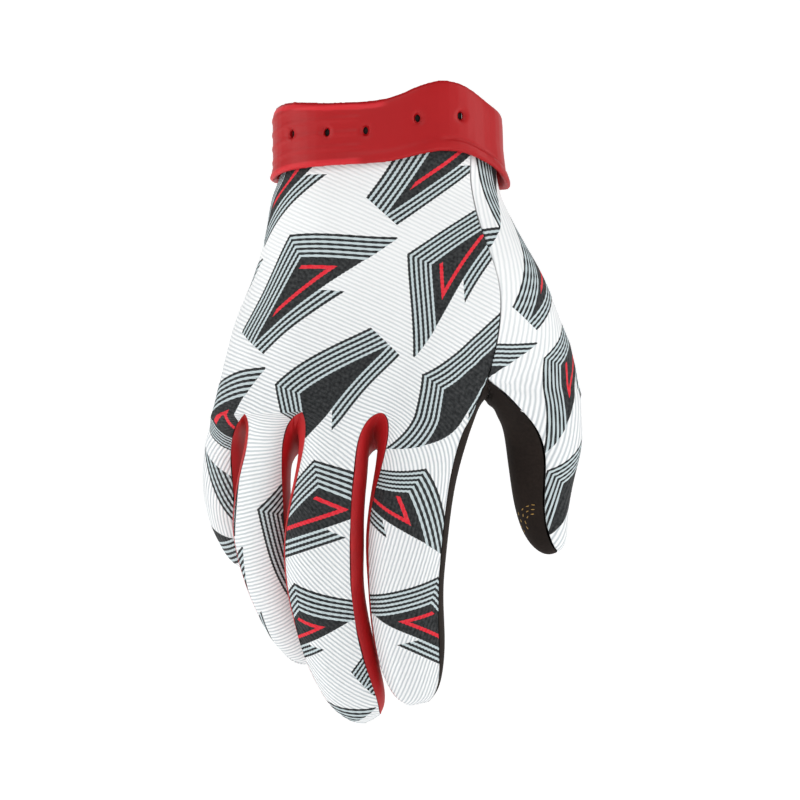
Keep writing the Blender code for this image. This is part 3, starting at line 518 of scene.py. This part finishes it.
# Painted highlight: the borders along the little-finger half of both rims are painted a lighter red.
cuff_highlight = add(tree, "ShaderNodeAttribute", attribute_name="cuff_highlight")
colour = add(tree, "ShaderNodeMix", {0: cuff_highlight.outputs["Fac"], 6: colour.outputs[2], 7: srgb(CUFF_HIGHLIGHT_RED)},
             data_type="RGBA")
skin = add(tree, "ShaderNodeTexNoise", {"Vector": place.outputs["Object"], "Scale": 2200.0, "Detail": 3.0})
bump = add(tree, "ShaderNodeBump", {"Strength": 0.12, "Distance": 0.05 * MM, "Height": skin})
tree.links.new(colour.outputs[2], shader.inputs["Base Color"])
tree.links.new(bump.outputs[0], shader.inputs["Normal"])
shader.inputs["Roughness"].default_value = 0.5
shader.inputs["Specular IOR Level"].default_value = 0.3

# A flat black fill set into each hole, so dull that only its darkness shows.
hole_black_fill, tree, shader = new_material("black_hole_fill")
place = add(tree, "ShaderNodeTexCoord")
loops = add(tree, "ShaderNodeTexNoise", {"Vector": place.outputs["Object"], "Scale": 1800.0, "Detail": 2.0})
colour = add(tree, "ShaderNodeMix", {0: loops, 6: srgb("#0B0706"), 7: srgb("#1D1210")}, data_type="RGBA")
tree.links.new(colour.outputs[2], shader.inputs["Base Color"])
shader.inputs["Roughness"].default_value = 0.9

mesh = bmesh.new()
mesh.from_mesh(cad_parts["cuff"].data)
bmesh.ops.remove_doubles(mesh, verts=mesh.verts, dist=MERGE)
cuff = as_piece(mesh, "moulded_cuff", "red_band", (band, hole_black_fill), "cuff")
even = cuff.modifiers.new("even", "REMESH")
even.mode = "VOXEL"
even.voxel_size = BAND_GRAIN
data = bpy.data.meshes.new_from_object(cuff.evaluated_get(bpy.context.evaluated_depsgraph_get()))
cuff.modifiers.clear()
cuff.data = data
mesh = bmesh.new()
mesh.from_mesh(data)
for _ in range(4):
    bmesh.ops.smooth_vert(mesh, verts=mesh.verts, factor=0.5, use_axis_x=True, use_axis_y=True, use_axis_z=True)
mesh.normal_update()


def ease(value, start, stop):
    """A soft step from 0 at start to 1 at stop."""
    share = min(1.0, max(0.0, (value - start) / (stop - start)))
    return share * share * (3 - 2 * share)


# The rims' heights for every three degrees round the wrist, from the middle of the back towards the thumb.
turns = [math.degrees(math.atan2(v.co.x, -v.co.y)) for v in mesh.verts]
rims = {}
for vertex, turn in zip(mesh.verts, turns):
    low, high = rims.get(round(turn / 3), (1.0, -1.0))
    rims[round(turn / 3)] = min(low, vertex.co.z), max(high, vertex.co.z)
steps = sorted(rims)
feet, tops = [rims[step][0] for step in steps], [rims[step][1] for step in steps]
cuff_highlight_layer = mesh.verts.layers.float.new("cuff_highlight")
holes = [Vector(hole) * MM for hole in HOLES]
for vertex, turn in zip(mesh.verts, turns):
    out = Vector((vertex.co.x, vertex.co.y, 0)).normalized()
    if vertex.normal.dot(out) < 0.25:
        continue
    foot, top = np.interp(turn / 3, steps, feet), np.interp(turn / 3, steps, tops)
    from_top, from_foot = top - vertex.co.z, vertex.co.z - foot
    little_side = ease(turn, 2, -8) * ease(turn, -150, -130)
    foot_side = ease(turn, -16, -24) * ease(turn, -150, -130)
    thumb_side = ease(turn, 34, 42) * ease(turn, 128, 118)
    press = TOP_PRESS * little_side * max(0.0, 1 - from_top / TOP_BORDER)
    press -= FOOT_SWELL * foot_side * max(0.0, math.cos(math.pi * (from_foot / FOOT_BORDER - 0.5)))
    press += LIP_GROOVE * thumb_side * math.exp(-((from_foot - LIP_HEIGHT) / GROOVE_WIDTH) ** 2)
    for hole in holes:
        away = (vertex.co - hole).length / DISH_REACH
        press += DISH_DEPTH * (1 - ease(away, 0.25, 1.0))
    # Painted highlight: how much lighter red each point of the top and foot borders on the little-finger side
    # gets.
    vertex[cuff_highlight_layer] = (0.75 * little_side * ease(from_top, 0.3 * MM, 0.9 * MM)
                            * ease(from_top, TOP_BORDER + 0.3 * MM, TOP_BORDER - 0.3 * MM)
                            + 0.6 * foot_side * ease(from_foot, FOOT_BORDER, FOOT_BORDER - 0.6 * MM))
    vertex.co -= vertex.normal * press
for hole in holes:
    out = Vector((hole.x, hole.y * 1.6, 0)).normalized()
    level = Vector((-out.y, out.x, 0))
    way = Matrix((level, out.cross(level), out)).transposed().to_4x4()
    made = bmesh.ops.create_uvsphere(mesh, u_segments=16, v_segments=8, radius=1.0,
                                     matrix=Matrix.Translation(hole - out * 0.55 * MM) @ way
                                     @ Matrix.Diagonal((HOLE_SIZE[0] / 2, HOLE_SIZE[1] / 2, 0.3 * MM, 1)))
    for face in {face for vertex in made["verts"] for face in vertex.link_faces}:
        face.material_index = 1
mesh.to_mesh(data)
mesh.free()
data.shade_smooth()


# Studio. A white acrylic sweep under and behind the glove, lit through from below so that it stays white, two
# tall soft boxes beside the glove and a wide one in front of and above it.
FLOOR = -0.300
sweep = bmesh.new()
profile = [sweep.verts.new((-4.0, y, z)) for y, z in ((-5.0, FLOOR), (2.2, FLOOR), (3.0, FLOOR + 0.15),
                                                      (3.5, FLOOR + 0.7), (3.6, 4.0))]
lines = [sweep.edges.new(pair) for pair in zip(profile, profile[1:])]
bmesh.ops.extrude_edge_only(sweep, edges=lines)
bmesh.ops.translate(sweep, vec=(8.0, 0, 0), verts=[v for v in sweep.verts if v not in profile])
bmesh.ops.recalc_face_normals(sweep, faces=sweep.faces)
data = bpy.data.meshes.new("white_sweep")
sweep.to_mesh(data)
sweep.free()
data.shade_smooth()
floor = bpy.data.objects.new("white_sweep", data)
bpy.context.scene.collection.objects.link(floor)
paper, tree, shader = new_material("lit_white_acrylic")
shader.inputs["Base Color"].default_value = (0.8, 0.8, 0.8, 1.0)
shader.inputs["Roughness"].default_value = 0.95
shader.inputs["Emission Color"].default_value = (1.0, 1.0, 1.0, 1.0)
shader.inputs["Emission Strength"].default_value = 0.62
data.materials.append(paper)
bend = floor.modifiers.new("bend", "SUBSURF")
bend.levels = bend.render_levels = 3

world = bpy.data.worlds.new("studio")
world.use_nodes = True
world.node_tree.nodes["Background"].inputs["Color"].default_value = (1.0, 1.0, 1.0, 1.0)
world.node_tree.nodes["Background"].inputs["Strength"].default_value = 0.26
bpy.context.scene.world = world
bpy.context.scene.view_settings.view_transform = "Standard"


def soft_box(name, place, aim, width, height, watts):
    light = bpy.data.lights.new(name, "AREA")
    light.shape = "RECTANGLE"
    light.size, light.size_y = width, height
    light.energy = watts
    lamp = bpy.data.objects.new(name, light)
    lamp.location = place
    lamp.rotation_euler = (Vector(aim) - Vector(place)).to_track_quat("-Z", "Y").to_euler()
    bpy.context.scene.collection.objects.link(lamp)


AIM = (0.0, 0.0, -0.1)
soft_box("left_box", (-1.1, -0.25, 0.15), AIM, 0.5, 1.4, 8)
soft_box("right_box", (1.1, -0.30, 0.15), AIM, 0.5, 1.4, 9)
soft_box("front_box", (-0.3, -1.6, 0.9), AIM, 1.0, 0.8, 10)

# Camera. Level with the glove, far away with a long lens, and framed as the photo is.
FRAME_HEIGHT = 0.264
DISTANCE = 2.6
camera = bpy.data.objects.new("camera", bpy.data.cameras.new("camera"))
camera.data.lens = camera.data.sensor_width * DISTANCE / FRAME_HEIGHT
camera.location = (0.004, -DISTANCE, -0.0974)
camera.rotation_euler = (math.radians(90), 0.0, 0.0)
camera.data.clip_end = 20
bpy.context.scene.collection.objects.link(camera)
bpy.context.scene.camera = camera
